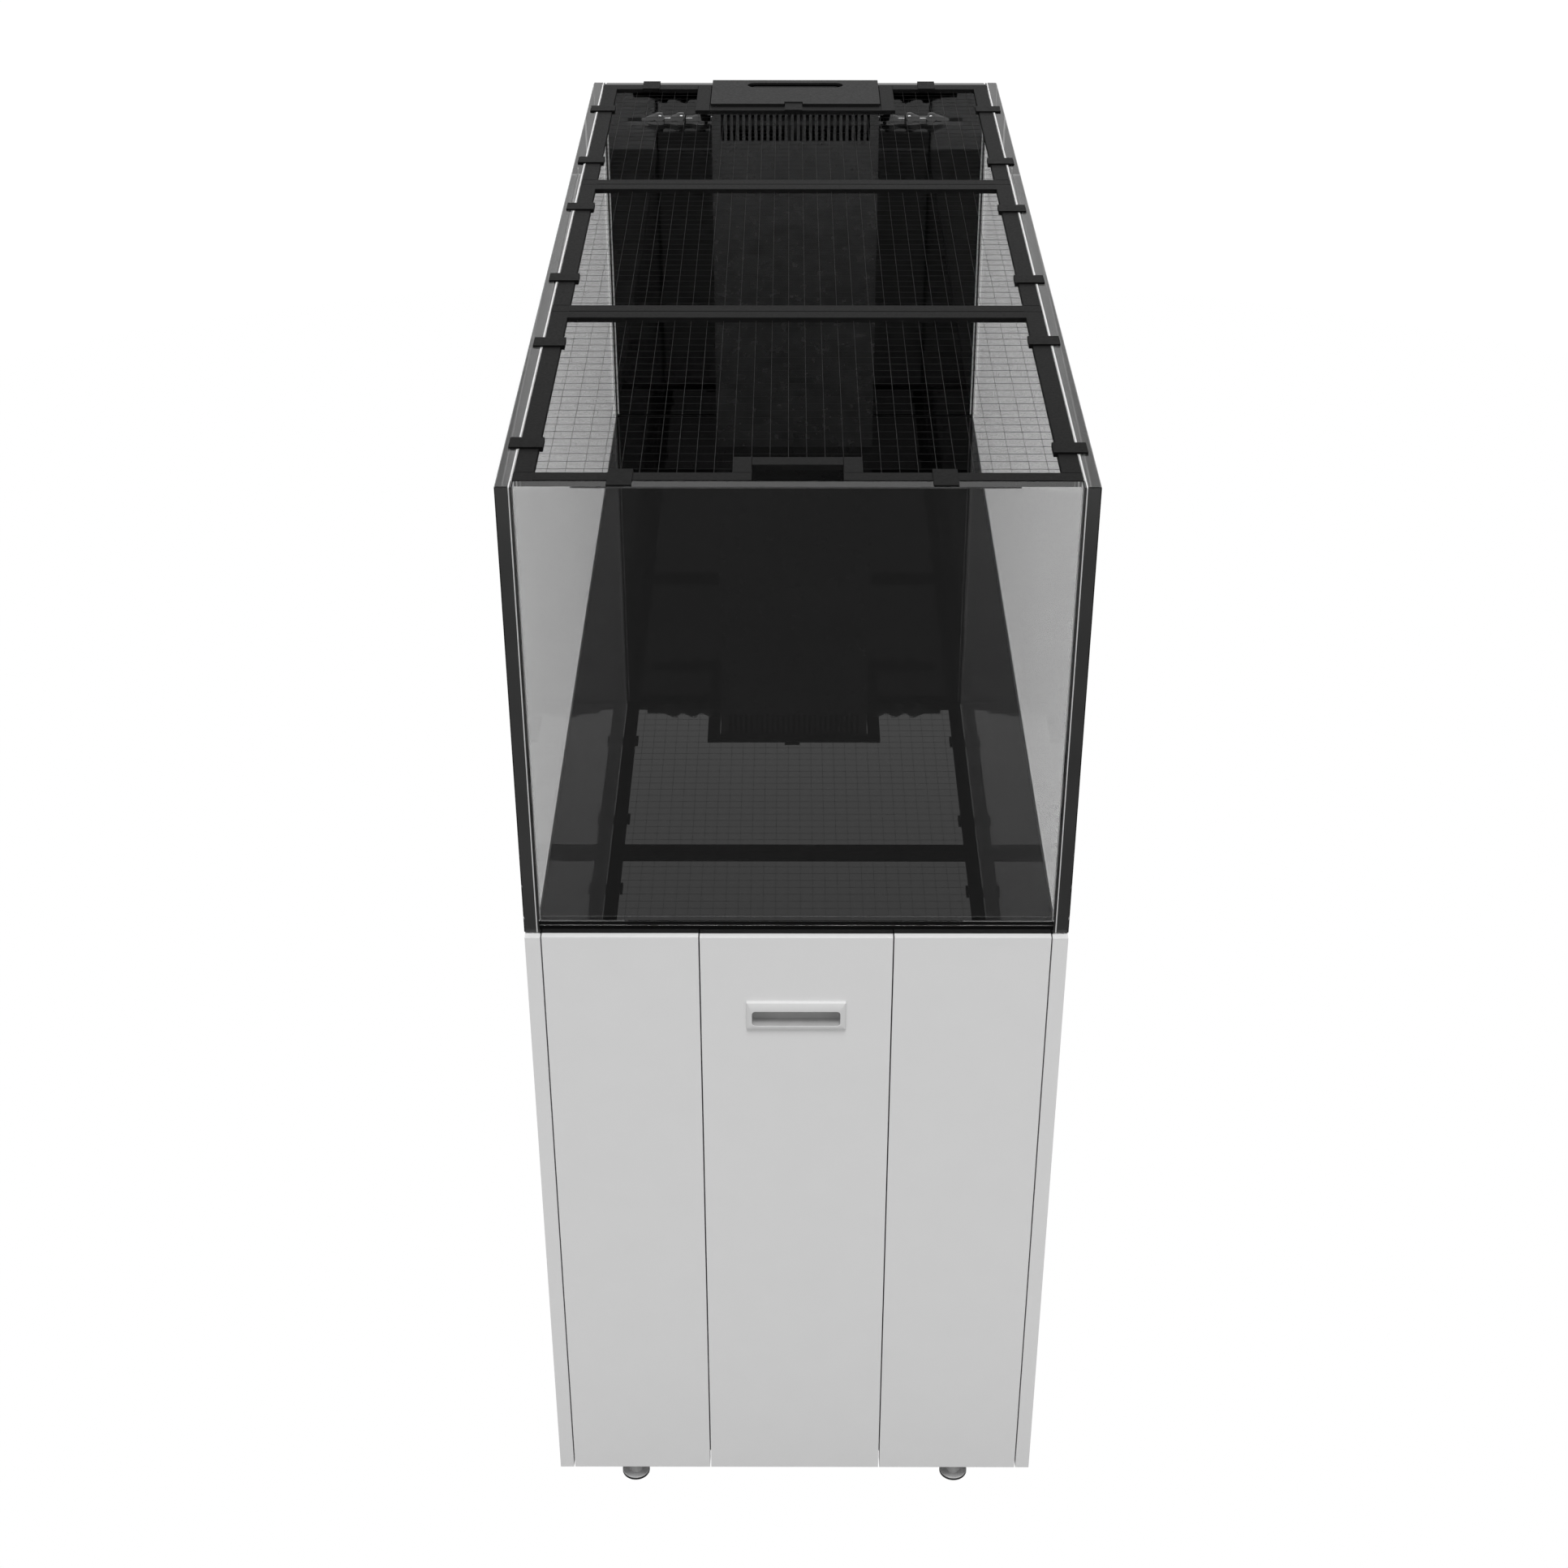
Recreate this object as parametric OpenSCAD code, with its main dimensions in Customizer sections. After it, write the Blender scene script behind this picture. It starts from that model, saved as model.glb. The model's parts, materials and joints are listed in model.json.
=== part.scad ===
// Aquarium on a cabinet stand: glass tank with net lids and an overflow box, over a panelled cabinet
// with side doors, a pull-out control board at the front and a sump inside.
// Millimetres. +Z is up, the front end with the pull-out faces -Y, and the floor is Z = 0.

/* [Tank] */
// Width of the tank across X
tank_w = 600; // [500:10:700]
// Length of the tank along Y
tank_l = 1434; // [1300:2:1600]
// Height of the tank
tank_h = 537; // [450:1:600]
// Thickness of the glass
glass_t = 15; // [12:1:19]
// Thickness of the black bottom panel
base_t = 9.4; // [8:0.2:12]
// Width of the silicone seams
seam_t = 2; // [1:0.5:3]

/* [Overflow box] */
// Width of the overflow box
overflow_w = 242; // [220:2:260]
// Depth of the overflow box in front of the back glass
overflow_d = 119; // [110:1:130]
// Thickness of its walls
overflow_t = 5; // [4:0.5:6]
// Number of slots in the comb
slot_count = 25; // [15:2:25]
// Distance between slots
slot_pitch = 8.8; // [8:0.1:9]
// Width of a slot
slot_w = 4.5; // [3:0.5:5]
// Height of a slot
slot_h = 38.5; // [20:0.5:50]
// Thickness of the overflow cover
cover_t = 3.5; // [3:0.5:5]
// Width of the hand slot in the cover
hand_slot_w = 141; // [100:1:160]

/* [Return nozzles] */
// Outer diameter of a ball socket
socket_d = 29; // [28:0.5:30]
// Diameter of the ball inside a socket
ball_d = 24.4; // [24:0.1:24.6]
// Distance between ball centres
link_pitch = 31.5; // [31:0.5:34]
// Depth of the nozzle axis below the rim
nozzle_drop = 33; // [30:1:40]
// Width of the flat spout
spout_w = 18; // [16:1:22]
// Height of the flat spout
spout_h = 7; // [7:0.5:9]

/* [Net lids] */
// Width of a side rail
side_rail_w = 20.3; // [16:0.1:22]
// Width of an end rail
end_rail_w = 19.3; // [16:0.1:22]
// Height of the rails
rail_t = 6; // [5:0.5:7]
// Gap between neighbouring lids
lid_gap = 1; // [0.8:0.1:2]
// Width of the feeding notch in the front lid
feed_w = 92; // [60:1:120]
// Depth of the feeding notch from the lid's front edge
feed_d = 37.6; // [30:0.2:60]
// Width of a clip
clip_w = 25; // [20:1:30]
// Thickness of a clip
clip_t = 2; // [1.5:0.1:2.5]

/* [Cabinet] */
// Width of the cabinet across X
cabinet_w = 598; // [500:2:700]
// Height of the cabinet's panels
cabinet_h = 828; // [700:1:900]
// How far the front and back panels stand proud of the tank
end_proud = 8; // [4:1:12]
// Thickness of the boards
board_t = 17; // [16:1:19]
// Gap between doors and panels
gap = 1.5; // [1:0.1:3]
// Width of the pull-out's front panel
centre_w = 213; // [200:1:240]
// Height of the bottom board's top face above the panels' lower edge
floor_rise = 30; // [28:1:40]
// Hinges on each door
hinge_count = 3; // [2:1:4]
// Depth of the pull-out's bay
bay_d = 492; // [450:1:520]
// Diameter of a cable hole in the back panel
cable_d = 60; // [50:1:70]

/* [Recessed handles] */
// Width of a handle's plate
plate_w = 112; // [108:1:130]
// Height of a handle's plate
plate_h = 37.5; // [36:0.5:45]
// How far the plate stands proud of the panel
plate_t = 3.5; // [2:0.5:4]
// Width of the finger recess
recess_w = 99; // [90:1:100]
// Height of the finger recess
recess_h = 19.3; // [16:0.1:22]
// Depth of the finger recess behind the panel's face
recess_d = 11; // [8:1:12]
// Distance of the plate's top edge below the top of the cabinet
plate_drop = 87; // [60:1:120]

/* [Feet] */
// Height of the gap under the panels
foot_h = 35; // [32:1:45]
// Diameter of a foot's disc
foot_d = 35; // [30:1:40]
// Distance of the outer feet from the middle, across X
foot_x = 205; // [180:1:240]
// Distance of the end feet behind the panels' faces
foot_inset = 27.5; // [27:0.5:60]

/* [Sump] */
// Width of the sump
sump_w = 400; // [360:2:420]
// Length of the sump
sump_l = 800; // [760:5:820]
// Height of the sump
sump_h = 360; // [320:5:380]
// Thickness of the sump's panes
sump_t = 8; // [6:1:10]

/* [Pipes] */
// Outer diameter of the drain pipes
drain_d = 32; // [30:1:34]
// Outer diameter of the return pipe
return_d = 25; // [22:1:26]
// Thickness of the pipes' walls
pipe_wall = 2.4; // [2:0.2:3]

/* [Hidden] */
$fn = 48;
eps = 0.1;

// Heights
deck_z = foot_h + cabinet_h;
rim_z = deck_z + tank_h;
glass_z = deck_z + base_t + 0.6;
board_low_z = foot_h + floor_rise - board_t - 1;
board_top_z = foot_h + floor_rise;
door_drop = 1;
front_drop = 0.5;

// Ends and sides
half_tank = tank_w / 2;
tank_y = tank_l / 2;
inner_x = half_tank - glass_t;
inner_y = tank_y - glass_t;
face_y = tank_y + end_proud;
face_x = cabinet_w / 2;
panel_y = face_y - board_t;
panel_x = face_x - board_t - gap;

// Overflow box
comb_y = inner_y - overflow_d;
wall_x = overflow_w / 2;
wall_top_z = rim_z - rail_t - 0.5;
slot_drop = 9.5;
cover_x = wall_x + 1.5;
cover_y = comb_y + 11;
hand_slot_r = 11.5;
hand_slot_y = inner_y - hand_slot_r;
rib_t = overflow_t;
rib_gap = 1.5;

// Net lids
lid_edge = 1.2;
lid_y0 = -inner_y + lid_edge;
lid_l = (2 * inner_y - 2 * lid_edge - 2 * lid_gap) / 3;
lid_x = inner_x - 1.2;
lid_step = lid_l + lid_gap;
rail_edge = 0.7;
rail_z = rim_z - rail_t;
joint_gap = 0.2;
net_t = 0.6;
net_z = rim_z - 4.2;
notch_x = cover_x + 1;
notch_y = cover_y - 2;
clip_in = 4;
clip_lip = 3.4;
clip_lip_t = 3.6;
clip_out = 5.3;
tab_x = -2.7;
left_clips = [[-612, -333], [-124, 139], [335, 577]];
right_clips = [[-624, -328], [-130, 132], [330, 575]];
front_clip_xs = [-177, 147];
back_clip_xs = [-213, 194];

// Pipes and fittings
riser_y = comb_y + 45;
drain_y = riser_y + 15;
drain_x = 62;
bulk_r = 28;
bulk_t = 6;
bulk_body_r = 20;
nut_r = 26;
nut_t = 11;
pipe_low_z = deck_z - 2;
pipe_high_z = deck_z + 4;
nozzle_z = rim_z - nozzle_drop;
main_top_z = rim_z - 70;
spare_top_z = rim_z - 50;
pipe_bottom_z = 412;
return_run_z = 760;
valve_z = 600;
valve_r = 24;
valve_l = 60;
lever_l = 90;
lever_w = 18;
lever_t = 5;
stem_r = 5;

// Nozzle links
first_ball_x = wall_x + 15;
socket_r = socket_d / 2;
ball_r = ball_d / 2;
ball_play = 0.05;
mouth_x = 5;
shoulder_x = 2;
neck_r = 9.3;
neck_x = 14.8;
water_r = 5;
wall_flange_r = 12.5;
wall_flange_t = 3;
spout_x = 14;
spout_end_x = 46.5;
cone_end_x = 26;
cone_end_r = 5.4;
spout_wall = 1.2;

// Cabinet inside
bay_x = centre_w / 2 + gap;
bay_y = panel_y - bay_d;
cutout_x = 100;
cutout_y0 = drain_y - 43;
cutout_y1 = drain_y + 36;
cable_x = 150;
cable_z = 200;
grommet_rim = 6;
grommet_wall = 3;
control_gap = 12.7;
control_x = -bay_x + control_gap;
control_low_z = 110;
control_top_z = 790;
control_l = 470;
slide_zs = [190, 700];
slide_h = 45;
slide_wall = 1.6;
slide_play = 1;
slide_l = 450;
slide_inner_t = 1.8;

// Doors, hinges and handles
door_low_z = foot_h;
door_top_z = deck_z - door_drop;
cup_r = 17.5;
cup_d = 12;
cup_wall = 1.2;
cup_in = 22.5;
hinge_end = 100;
arm_l = 44;
arm_t = 13;
arm_h = 16;
foot_plate_l = 12;
foot_plate_t = 3;
foot_plate_h = 50;
plate_z = deck_z - plate_drop - plate_h / 2;
recess_shift = (12.8 - 5.4) / 2;
recess_r = 4;
cup_skin = 1.8;
door_handle_in = 90;

// Feet
foot_y = face_y - foot_inset;
disc_t = 4.4;
foot_stem_r = 5;
foot_stem_top_z = board_low_z + 9;
foot_play = 0.05;
socket_flange_r = 10.2;
socket_flange_t = 3;
socket_body_r = 8.5;
socket_body_h = 12;
foot_nut_r = 9;
foot_nut_z = 14;
foot_nut_t = 8;
foot_places = [
  [-foot_x, -foot_y], [foot_x, -foot_y], [-foot_x, 0], [foot_x, 0], [-foot_x, foot_y], [foot_x, foot_y]
];

// Sump
sump_y1 = panel_y - 28;
sump_y0 = sump_y1 - sump_l;
sump_z = board_top_z;
pane_gap = 0.4;
sump_x = sump_w / 2 - sump_t - pane_gap;
shelf_z = 380;
shelf_t = 6;
shelf_l = 127;
cup_y = drain_y - 34;
filter_r = 55;
filter_wall = 3;
filter_z = 240;
filter_flange_r = 62;
filter_flange_t = 4;
inlet_y = sump_y1 - sump_t - shelf_l - 2 * pane_gap;
chamber_y = sump_y0 + 200;
baffle_h = 290;
baffle_step = 40;
pump_y = sump_y0 + 100;
pump_w = 90;
pump_l = 120;
pump_h = 80;
pump_neck_r = 16;
pump_neck_h = 15;

// A box between two corners
module block(low, high) {
  translate(low) cube(high - low);
}

// A mirrored pair across X
module both_sides() {
  children();
  mirror([1, 0, 0]) children();
}

// ---- Tank ----

module tank_side_glass() {
  color([0.8, 0.85, 0.84, 0.3])
    block([inner_x, -tank_y, deck_z], [half_tank, tank_y, rim_z]);
}

module tank_end_glass(y0, y1) {
  block([-inner_x + seam_t, y0, glass_z], [inner_x - seam_t, y1, rim_z]);
}

module tank_front_glass() { color([0.8, 0.85, 0.84, 0.3]) tank_end_glass(-tank_y, -inner_y); }
module tank_left_glass() { mirror([1, 0, 0]) tank_side_glass(); }
module tank_right_glass() { tank_side_glass(); }
module tank_back_glass() { color([0.05, 0.05, 0.05]) tank_end_glass(inner_y, tank_y); }

module bulkhead_places() {
  for (x = [-drain_x, drain_x]) translate([x, drain_y, 0]) children();
  translate([0, riser_y, 0]) children();
}

module tank_bottom_panel() {
  color([0.05, 0.05, 0.05]) difference() {
    block([-inner_x + seam_t, -tank_y, deck_z], [inner_x - seam_t, tank_y, deck_z + base_t]);
    bulkhead_places() translate([0, 0, deck_z - eps]) cylinder(r = bulk_body_r, h = base_t + 2 * eps);
  }
}

// Black silicone between the panes: four upright seams and the joint lines on the bottom panel
module silicone_seams() {
  color([0.04, 0.04, 0.04]) {
    both_sides() {
      block([inner_x - seam_t, -tank_y + 0.5, glass_z], [inner_x, -inner_y, rim_z - 0.5]);
      block([inner_x - seam_t, inner_y, glass_z], [inner_x, tank_y - 0.5, rim_z - 0.5]);
      block([inner_x - seam_t, -tank_y + 0.5, deck_z + 0.5], [inner_x, tank_y - 0.5, glass_z - joint_gap]);
    }
    for (y = [-tank_y + 0.5, inner_y])
      block([-inner_x + seam_t + joint_gap, y, deck_z + base_t],
            [inner_x - seam_t - joint_gap, y + glass_t - 0.5, glass_z]);
  }
}

// ---- Overflow box ----

module overflow_comb() {
  color([0.15, 0.15, 0.15]) difference() {
    block([-wall_x, comb_y, deck_z + base_t], [wall_x, comb_y + overflow_t, wall_top_z]);
    for (i = [0 : slot_count - 1])
      translate([(i - (slot_count - 1) / 2) * slot_pitch - slot_w / 2, comb_y - eps,
                 rim_z - slot_drop - slot_h])
        cube([slot_w, overflow_t + 2 * eps, slot_h]);
  }
}

module overflow_side_walls() {
  color([0.12, 0.12, 0.12]) both_sides()
    block([wall_x - overflow_t, comb_y + overflow_t, deck_z + base_t], [wall_x, inner_y, wall_top_z]);
}

// Flanged fittings that seal the pipes through the bottom panel, with their nuts under the tank
module bulkhead(bore_r) {
  difference() {
    union() {
      translate([0, 0, deck_z + base_t]) cylinder(r = bulk_r, h = bulk_t);
      translate([0, 0, deck_z - nut_t]) cylinder(r = bulk_body_r, h = nut_t + base_t + eps);
      translate([0, 0, deck_z - nut_t]) cylinder(r = nut_r, h = nut_t);
    }
    translate([0, 0, deck_z - nut_t - eps]) cylinder(r = bore_r, h = nut_t + base_t + bulk_t + 2 * eps);
  }
}

module bulkheads() {
  color([0.3, 0.3, 0.3]) {
    for (x = [-drain_x, drain_x]) translate([x, drain_y, 0]) bulkhead(drain_d / 2);
    translate([0, riser_y, 0]) bulkhead(return_d / 2);
  }
}

module tube(r, h) {
  difference() {
    cylinder(r = r, h = h);
    translate([0, 0, -eps]) cylinder(r = r - pipe_wall, h = h + 2 * eps);
  }
}

// The main drain with its ball valve, and the emergency drain
module drain_pipes() {
  color([0.2, 0.2, 0.2]) {
    translate([-drain_x, drain_y, pipe_high_z]) tube(drain_d / 2, main_top_z - pipe_high_z);
    translate([drain_x, drain_y, pipe_high_z]) tube(drain_d / 2, spare_top_z - pipe_high_z);
    translate([drain_x, drain_y, pipe_bottom_z]) tube(drain_d / 2, pipe_low_z - pipe_bottom_z);
    translate([-drain_x, drain_y, 0]) {
      difference() {
        union() {
          translate([0, 0, pipe_bottom_z]) cylinder(r = drain_d / 2, h = pipe_low_z - pipe_bottom_z);
          translate([0, 0, valve_z - valve_l / 2]) cylinder(r = valve_r, h = valve_l);
        }
        translate([0, 0, pipe_bottom_z - eps])
          cylinder(r = drain_d / 2 - pipe_wall, h = pipe_low_z - pipe_bottom_z + 2 * eps);
      }
    }
  }
}

// The return line: up from the pump, along under the tank, and up to a tee between the two nozzles
module return_run(r) {
  translate([0, pump_y, sump_z + sump_t + pump_h + pump_neck_h])
    cylinder(r = r, h = return_run_z - sump_z - sump_t - pump_h - pump_neck_h);
  translate([0, pump_y, return_run_z]) rotate([-90, 0, 0]) cylinder(r = r, h = riser_y - pump_y);
  translate([0, riser_y, return_run_z]) cylinder(r = r, h = pipe_low_z - return_run_z);
  for (y = [pump_y, riser_y]) translate([0, y, return_run_z]) sphere(r = r);
}

module return_pipes() {
  color([0.2, 0.2, 0.2]) {
    return_run(return_d / 2);
    difference() {
      union() {
        translate([0, riser_y, pipe_high_z]) cylinder(r = return_d / 2, h = nozzle_z - pipe_high_z);
        translate([-wall_x + overflow_t, riser_y, nozzle_z]) rotate([0, 90, 0])
          cylinder(r = return_d / 2, h = 2 * (wall_x - overflow_t));
      }
      translate([-wall_x, riser_y, nozzle_z]) rotate([0, 90, 0])
        cylinder(r = return_d / 2 - pipe_wall, h = 2 * wall_x);
    }
  }
}

// The loose cover over the overflow box, with a hand slot, a notch for the clip and two ribs below
module overflow_cover() {
  color([0.27, 0.27, 0.27]) {
    difference() {
      block([-cover_x, cover_y, rim_z], [cover_x, tank_y, rim_z + cover_t]);
      translate([0, hand_slot_y, rim_z - eps]) {
        translate([-hand_slot_w / 2 + hand_slot_r, -hand_slot_r, 0])
          cube([hand_slot_w - 2 * hand_slot_r, 2 * hand_slot_r, cover_t + 2 * eps]);
        for (x = [-1, 1]) translate([x * (hand_slot_w / 2 - hand_slot_r), 0, 0])
          cylinder(r = hand_slot_r, h = cover_t + 2 * eps);
      }
      block([tab_x - clip_w / 2 - 0.8, cover_y - eps, rim_z - eps],
            [tab_x + clip_w / 2 + 0.8, cover_y + clip_in + 6, rim_z + cover_t + eps]);
    }
    both_sides()
      block([wall_x - rib_t, cover_y + rib_gap, wall_top_z], [wall_x, inner_y - rib_gap, rim_z]);
  }
}

// ---- Return nozzles ----

// A row of links lies along +X from the right wall; the left row is its mirror
module at_ball(i) {
  translate([first_ball_x + i * link_pitch, riser_y, nozzle_z]) rotate([0, 90, 0]) children();
}

module ball_and_neck(back) {
  sphere(r = ball_r);
  translate([0, 0, -back]) cylinder(r = neck_r, h = back);
}

// A ball's socket, which tapers away from its mouth to end_r at end_x
module socket(end_x, end_r) {
  shoulder_r = sqrt(socket_r * socket_r - shoulder_x * shoulder_x);
  difference() {
    union() {
      sphere(r = socket_r);
      translate([0, 0, shoulder_x]) cylinder(r1 = shoulder_r, r2 = end_r, h = end_x - shoulder_x);
    }
    sphere(r = ball_r + ball_play);
    translate([0, 0, -socket_d - mouth_x]) cylinder(r = socket_d, h = socket_d);
  }
}

module nozzle_wall_fittings() {
  color([0.08, 0.08, 0.08]) both_sides() at_ball(0) difference() {
    union() {
      ball_and_neck(first_ball_x - wall_x);
      translate([0, 0, wall_x - first_ball_x]) cylinder(r = wall_flange_r, h = wall_flange_t);
    }
    translate([0, 0, -socket_d]) cylinder(r = water_r, h = 2 * socket_d);
  }
}

module nozzle_link(i) {
  color([0.08, 0.08, 0.08]) at_ball(i) difference() {
    union() {
      socket(neck_x, neck_r);
      translate([0, 0, link_pitch]) ball_and_neck(link_pitch - neck_x);
    }
    translate([0, 0, ball_r - 2]) cylinder(r = water_r, h = 2 * link_pitch);
  }
}

module nozzle_spout() {
  color([0.08, 0.08, 0.08]) at_ball(2) difference() {
    union() {
      socket(cone_end_x, cone_end_r);
      translate([-spout_h / 2, -spout_w / 2, spout_x]) cube([spout_h, spout_w, spout_end_x - spout_x]);
    }
    translate([0, 0, ball_r - 2]) cylinder(r = spout_h / 2 - spout_wall, h = spout_x);
    translate([-spout_h / 2 + spout_wall, -spout_w / 2 + spout_wall, cone_end_x])
      cube([spout_h - 2 * spout_wall, spout_w - 2 * spout_wall, spout_end_x]);
  }
}

module right_nozzle_link_1() { nozzle_link(0); }
module right_nozzle_link_2() { nozzle_link(1); }
module right_nozzle_spout() { nozzle_spout(); }
module left_nozzle_link_1() { mirror([1, 0, 0]) nozzle_link(0); }
module left_nozzle_link_2() { mirror([1, 0, 0]) nozzle_link(1); }
module left_nozzle_spout() { mirror([1, 0, 0]) nozzle_spout(); }

// ---- Net lids ----

// The section of a rail: a flat bar with its upper edges broken
module rail_section(w) {
  polygon([[0, 0], [w, 0], [w, rail_t - rail_edge], [w - rail_edge, rail_t], [rail_edge, rail_t],
           [0, rail_t - rail_edge]]);
}

// A rail that runs along Y, from y0 to y1
module rail_y(x, w, y0, y1) {
  translate([x, y1 - joint_gap / 2, rail_z]) rotate([90, 0, 0])
    linear_extrude(y1 - y0 - joint_gap) rail_section(w);
}

// A rail that runs along X, from x0 to x1
module rail_x(y, w, x0, x1) {
  translate([x0 + joint_gap / 2, y, rail_z]) rotate([90, 0, 90])
    linear_extrude(x1 - x0 - joint_gap) rail_section(w);
}

// A corner block or a joining block between rails
module lid_corner(x, y, w, l) {
  block([x, y, rail_z], [x + w, y + l, rim_z - 0.2]);
}

function lid_start(i) = lid_y0 + i * lid_step;
inner_rail_x = lid_x - side_rail_w;

// The two long rails and the four corner blocks that every lid has
module lid_sides(i) {
  both_sides() {
    rail_y(inner_rail_x, side_rail_w, lid_start(i) + end_rail_w, lid_start(i) + lid_l - end_rail_w);
    for (y = [lid_start(i), lid_start(i) + lid_l - end_rail_w])
      lid_corner(inner_rail_x, y, side_rail_w, end_rail_w);
  }
}

module front_lid_frame() {
  color([0.2, 0.2, 0.2]) {
    lid_sides(0);
    both_sides() {
      rail_x(lid_y0, end_rail_w, feed_w / 2, inner_rail_x);
      rail_y(feed_w / 2, end_rail_w, lid_y0 + end_rail_w, lid_y0 + feed_d + end_rail_w);
    }
    rail_x(lid_y0 + feed_d, end_rail_w, -feed_w / 2, feed_w / 2);
    rail_x(lid_y0 + lid_l - end_rail_w, end_rail_w, -inner_rail_x, inner_rail_x);
  }
}

module middle_lid_frame() {
  color([0.2, 0.2, 0.2]) {
    lid_sides(1);
    for (y = [lid_start(1), lid_start(1) + lid_l - end_rail_w])
      rail_x(y, end_rail_w, -inner_rail_x, inner_rail_x);
  }
}

module rear_lid_frame() {
  color([0.2, 0.2, 0.2]) {
    lid_sides(2);
    rail_x(lid_start(2), end_rail_w, -inner_rail_x, inner_rail_x);
    rail_x(notch_y - end_rail_w, end_rail_w, -notch_x, notch_x);
    both_sides() {
      rail_x(lid_start(2) + lid_l - end_rail_w, end_rail_w, notch_x + side_rail_w, inner_rail_x);
      rail_y(notch_x, side_rail_w, notch_y - end_rail_w, lid_start(2) + lid_l);
    }
  }
}

// The net of lid i: a sheet inside the rails
module lid_net(i) {
  block([-inner_rail_x, lid_start(i) + end_rail_w, net_z],
        [inner_rail_x, lid_start(i) + lid_l - end_rail_w, net_z + net_t]);
}

module front_lid_net() {
  color([0.75, 0.75, 0.75]) difference() {
    lid_net(0);
    block([-feed_w / 2 - end_rail_w, lid_y0, rail_z],
          [feed_w / 2 + end_rail_w, lid_y0 + feed_d + end_rail_w, rim_z]);
  }
}

module middle_lid_net() { color([0.75, 0.75, 0.75]) lid_net(1); }

module rear_lid_net() {
  color([0.75, 0.75, 0.75]) difference() {
    lid_net(2);
    block([-notch_x - side_rail_w, notch_y - end_rail_w, rail_z], [notch_x + side_rail_w, tank_y, rim_z]);
  }
}

// A clip: a plate from the rim over a rail, with a lip at the rail's inner side. It points along -Y from
// the rail's inner edge at the origin, and reach is the length of its plate.
module clip(reach) {
  translate([-clip_w / 2, -reach, 0]) cube([clip_w, reach + clip_in, clip_t]);
  translate([-clip_w / 2, clip_in - clip_lip_t, -clip_lip]) cube([clip_w, clip_lip_t, clip_lip + eps]);
}

module side_clips(i) {
  reach = half_tank - clip_out - inner_rail_x;
  for (y = right_clips[i]) translate([inner_rail_x, y, rim_z]) rotate([0, 0, 90]) clip(reach);
  for (y = left_clips[i]) translate([-inner_rail_x, y, rim_z]) rotate([0, 0, -90]) clip(reach);
}

module front_lid_clips() {
  color([0.17, 0.17, 0.17]) {
    side_clips(0);
    for (x = front_clip_xs) translate([x, lid_y0 + end_rail_w, rim_z]) clip(end_rail_w + glass_t);
  }
}

module middle_lid_clips() { color([0.17, 0.17, 0.17]) side_clips(1); }

module rear_lid_clips() {
  color([0.17, 0.17, 0.17]) {
    side_clips(2);
    for (x = back_clip_xs) translate([x, lid_start(2) + lid_l - end_rail_w, rim_z])
      rotate([0, 0, 180]) clip(end_rail_w + glass_t);
    translate([tab_x, notch_y - end_rail_w, rim_z]) rotate([0, 0, 180]) clip(end_rail_w + 2 + clip_in + 5);
  }
}

// ---- Cabinet, fixed boards ----

module bottom_board() {
  color([0.93, 0.93, 0.93]) difference() {
    block([-panel_x, -panel_y, board_low_z], [panel_x, panel_y, board_top_z]);
    for (p = foot_places) translate([p.x, p.y, board_low_z - eps])
      cylinder(r = socket_body_r, h = socket_body_h + eps);
  }
}

module top_board() {
  color([0.93, 0.93, 0.93]) difference() {
    block([-panel_x, -panel_y, deck_z - board_t], [panel_x, panel_y, deck_z]);
    block([-cutout_x, cutout_y0, deck_z - board_t - eps], [cutout_x, cutout_y1, deck_z + eps]);
  }
}

module front_side_panel() {
  block([centre_w / 2 + gap, -face_y, foot_h], [panel_x, -panel_y, deck_z]);
}

module front_left_panel() { color([0.95, 0.95, 0.95]) mirror([1, 0, 0]) front_side_panel(); }
module front_right_panel() { color([0.95, 0.95, 0.95]) front_side_panel(); }

module back_panel() {
  color([0.95, 0.95, 0.95]) difference() {
    block([-panel_x, panel_y, foot_h], [panel_x, face_y, deck_z]);
    for (x = [-cable_x, cable_x]) translate([x, panel_y - eps, cable_z]) rotate([-90, 0, 0])
      cylinder(d = cable_d + 2 * grommet_wall, h = board_t + 2 * eps);
  }
}

// The two boards beside the pull-out and the board between its bay and the sump
module inner_boards() {
  color([0.93, 0.93, 0.93]) {
    both_sides()
      block([bay_x, -panel_y, board_top_z], [bay_x + board_t, -bay_y - joint_gap, deck_z - board_t]);
    block([-panel_x, -bay_y, board_top_z], [panel_x, -bay_y + board_t, deck_z - board_t]);
  }
}

module cable_grommets() {
  color([0.2, 0.2, 0.2]) for (x = [-cable_x, cable_x])
    translate([x, panel_y, cable_z]) rotate([-90, 0, 0]) difference() {
      union() {
        cylinder(d = cable_d + 2 * grommet_wall, h = board_t + eps);
        translate([0, 0, board_t]) cylinder(d = cable_d + 2 * grommet_wall + 2 * grommet_rim, h = plate_t);
      }
      translate([0, 0, -eps]) cylinder(d = cable_d, h = board_t + plate_t + 2 * eps);
    }
}

module foot_sockets() {
  color([0.1, 0.1, 0.1]) for (p = foot_places) translate([p.x, p.y, board_low_z]) difference() {
    union() {
      translate([0, 0, -socket_flange_t]) cylinder(r = socket_flange_r, h = socket_flange_t);
      cylinder(r = socket_body_r, h = socket_body_h);
    }
    translate([0, 0, -socket_flange_t - eps])
      cylinder(r = foot_stem_r + foot_play, h = socket_flange_t + socket_body_h + 2 * eps);
  }
}

// ---- Doors ----

hinge_step = (cabinet_h - 2 * hinge_end) / (hinge_count - 1);
hinge_zs = [for (i = [0 : hinge_count - 1]) foot_h + hinge_end + i * hinge_step];

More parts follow.
